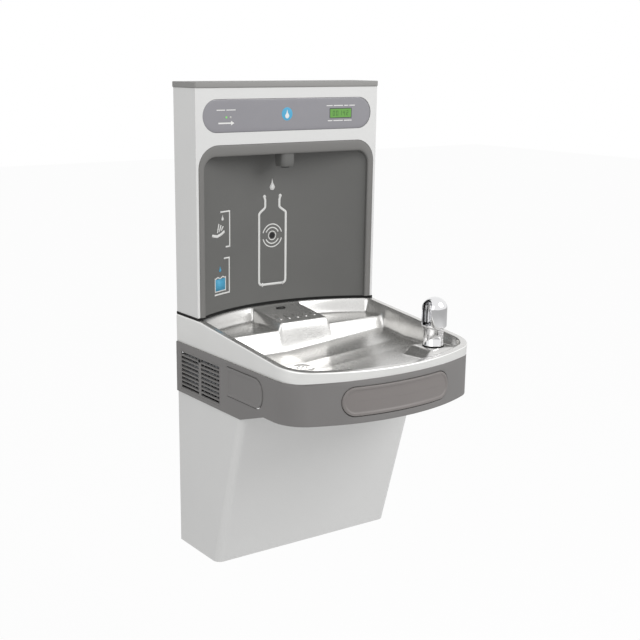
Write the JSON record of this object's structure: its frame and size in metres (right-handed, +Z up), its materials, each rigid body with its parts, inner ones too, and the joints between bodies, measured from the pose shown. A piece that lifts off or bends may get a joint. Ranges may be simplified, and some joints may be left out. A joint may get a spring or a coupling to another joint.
{
  "type": "bottle filling station",
  "caption": "Wall-hung drinking fountain with a stainless basin, a hooded bubbler, push bars, a cooler cabinet, and a sensor-operated bottle filler in a tower above.",
  "frame": {"origin": "centre of the wall hanger's four bolt holes, on the wall's surface", "axes": "+X to the right along the wall, +Y into the wall, +Z up"},
  "size_m": [0.471, 0.4819, 1.002],
  "materials": {
    "galvanised": "galvanised",
    "cabinet_paint": "light grey powder coat",
    "apron_grey": "fine-textured grey moulding",
    "bar_grey": "fine-textured grey moulding",
    "liner_grey": "satin dark grey moulding",
    "cap_grey": "satin grey moulding",
    "nozzle_grey": "satin dark grey moulding",
    "stainless": "brushed stainless",
    "chrome": "polished chrome",
    "steel": "zinc plated",
    "rubber": "matt black rubber",
    "black_plastic": "black moulding",
    "valve_plastic": "ivory moulding",
    "hose": "translucent tubing",
    "filter_white": "white moulding",
    "tank_jacket": "insulating jacket",
    "brass": "machined brass",
    "compressor_black": "black enamel",
    "fin_aluminium": "plain fins",
    "motor_grey": "dark grey paint",
    "copper": "drawn copper",
    "box_zinc": "zinc plated box",
    "lens_grey": "glossy grey window",
    "counter_green": "lit green display",
    "lamp_green": "green lamp",
    "board_green": "printed board",
    "sensor_black": "dark window"
  },
  "bodies": {
    "root": {"wall_hanger": "galvanised", "chassis_frame": "galvanised", "cabinet_shroud": "cabinet_paint", "apron": "apron_grey", "left_grille": "apron_grey", "right_grille": "apron_grey", "grille_screws": "steel", "bar_guides": "galvanised", "bar_switches": "black_plastic", "front_bar_springs": "steel", "left_bar_springs": "steel", "right_bar_springs": "steel", "basin": "stainless", "drain_strainer": "stainless", "strainer_nut": "chrome", "waste_tube": "chrome", "deck_drain": "rubber", "deck_drain_tube": "hose", "bubbler_gasket": "rubber", "bubbler_body": "chrome", "bubbler_hood": "chrome", "bubbler_orifice": "chrome", "bubbler_locknut": "brass", "bubbler_tube": "hose", "bubbler_valve": "valve_plastic", "filter_head": "filter_white", "water_inlet": "brass", "cooling_tank": "tank_jacket", "compressor": "compressor_black", "compressor_grommets": "rubber", "condenser": "fin_aluminium", "fan_shroud": "black_plastic", "fan_motor": "motor_grey", "filter_drier": "copper", "refrigerant_lines": "copper", "thermostat": "valve_plastic", "junction_box": "box_zinc", "tower_gasket": "rubber", "tower_back_plate": "galvanised", "tower_shell": "cabinet_paint", "top_cap": "cap_grey", "cap_screws": "steel", "alcove_liner": "liner_grey", "display_lens": "lens_grey", "counter_display": "counter_green", "status_lamps": "lamp_green", "control_board": "board_green", "power_supply": "box_zinc", "sensor_window": "sensor_black", "sensor_module": "board_green", "filler_nozzle": "nozzle_grey", "filler_aerator": "chrome", "filler_valve": "valve_plastic"},
    "front_bar": {"front_push_bar": "bar_grey"},
    "left_bar": {"left_push_bar": "bar_grey"},
    "right_bar": {"right_push_bar": "bar_grey"},
    "fan": {"fan_blade": "valve_plastic"},
    "regulator": {"regulator_screw": "steel"},
    "knob": {"thermostat_knob": "black_plastic"},
    "cartridge": {"filter_cartridge": "filter_white"}
  },
  "joints": [
    {"name": "front_bar_slide", "type": "slide", "parent": "root", "child": "front_bar", "axis": [0, 1, 0], "range_m": [0, 0.005], "stiffness_N_per_m": 1500, "springref_m": -0.002, "deforming": ["front_bar_springs"]},
    {"name": "left_bar_slide", "type": "slide", "parent": "root", "child": "left_bar", "axis": [1, 0, 0], "range_m": [0, 0.005], "stiffness_N_per_m": 1500, "springref_m": -0.002, "deforming": ["left_bar_springs"]},
    {"name": "right_bar_slide", "type": "slide", "parent": "root", "child": "right_bar", "axis": [-1, 0, 0], "range_m": [0, 0.005], "stiffness_N_per_m": 1500, "springref_m": -0.002, "deforming": ["right_bar_springs"]},
    {"name": "fan_spin", "type": "hinge", "parent": "root", "child": "fan", "pos_m": [-0.172, -0.098, 0.011], "axis": [1, 0, 0], "continuous": true},
    {"name": "regulator_turn", "type": "hinge", "parent": "root", "child": "regulator", "pos_m": [0.182, -0.0535, -0.003], "axis": [0, -1, 0], "range_deg": [-180, 180]},
    {"name": "thermostat_turn", "type": "hinge", "parent": "root", "child": "knob", "pos_m": [0.084, -0.0435, -0.018], "axis": [0, -1, 0], "range_deg": [-150, 150]},
    {"name": "filter_twist", "type": "hinge", "parent": "root", "child": "cartridge", "pos_m": [0, -0.0655, -0.074], "axis": [0, 0, 1], "range_deg": [0, 90]}
  ]
}
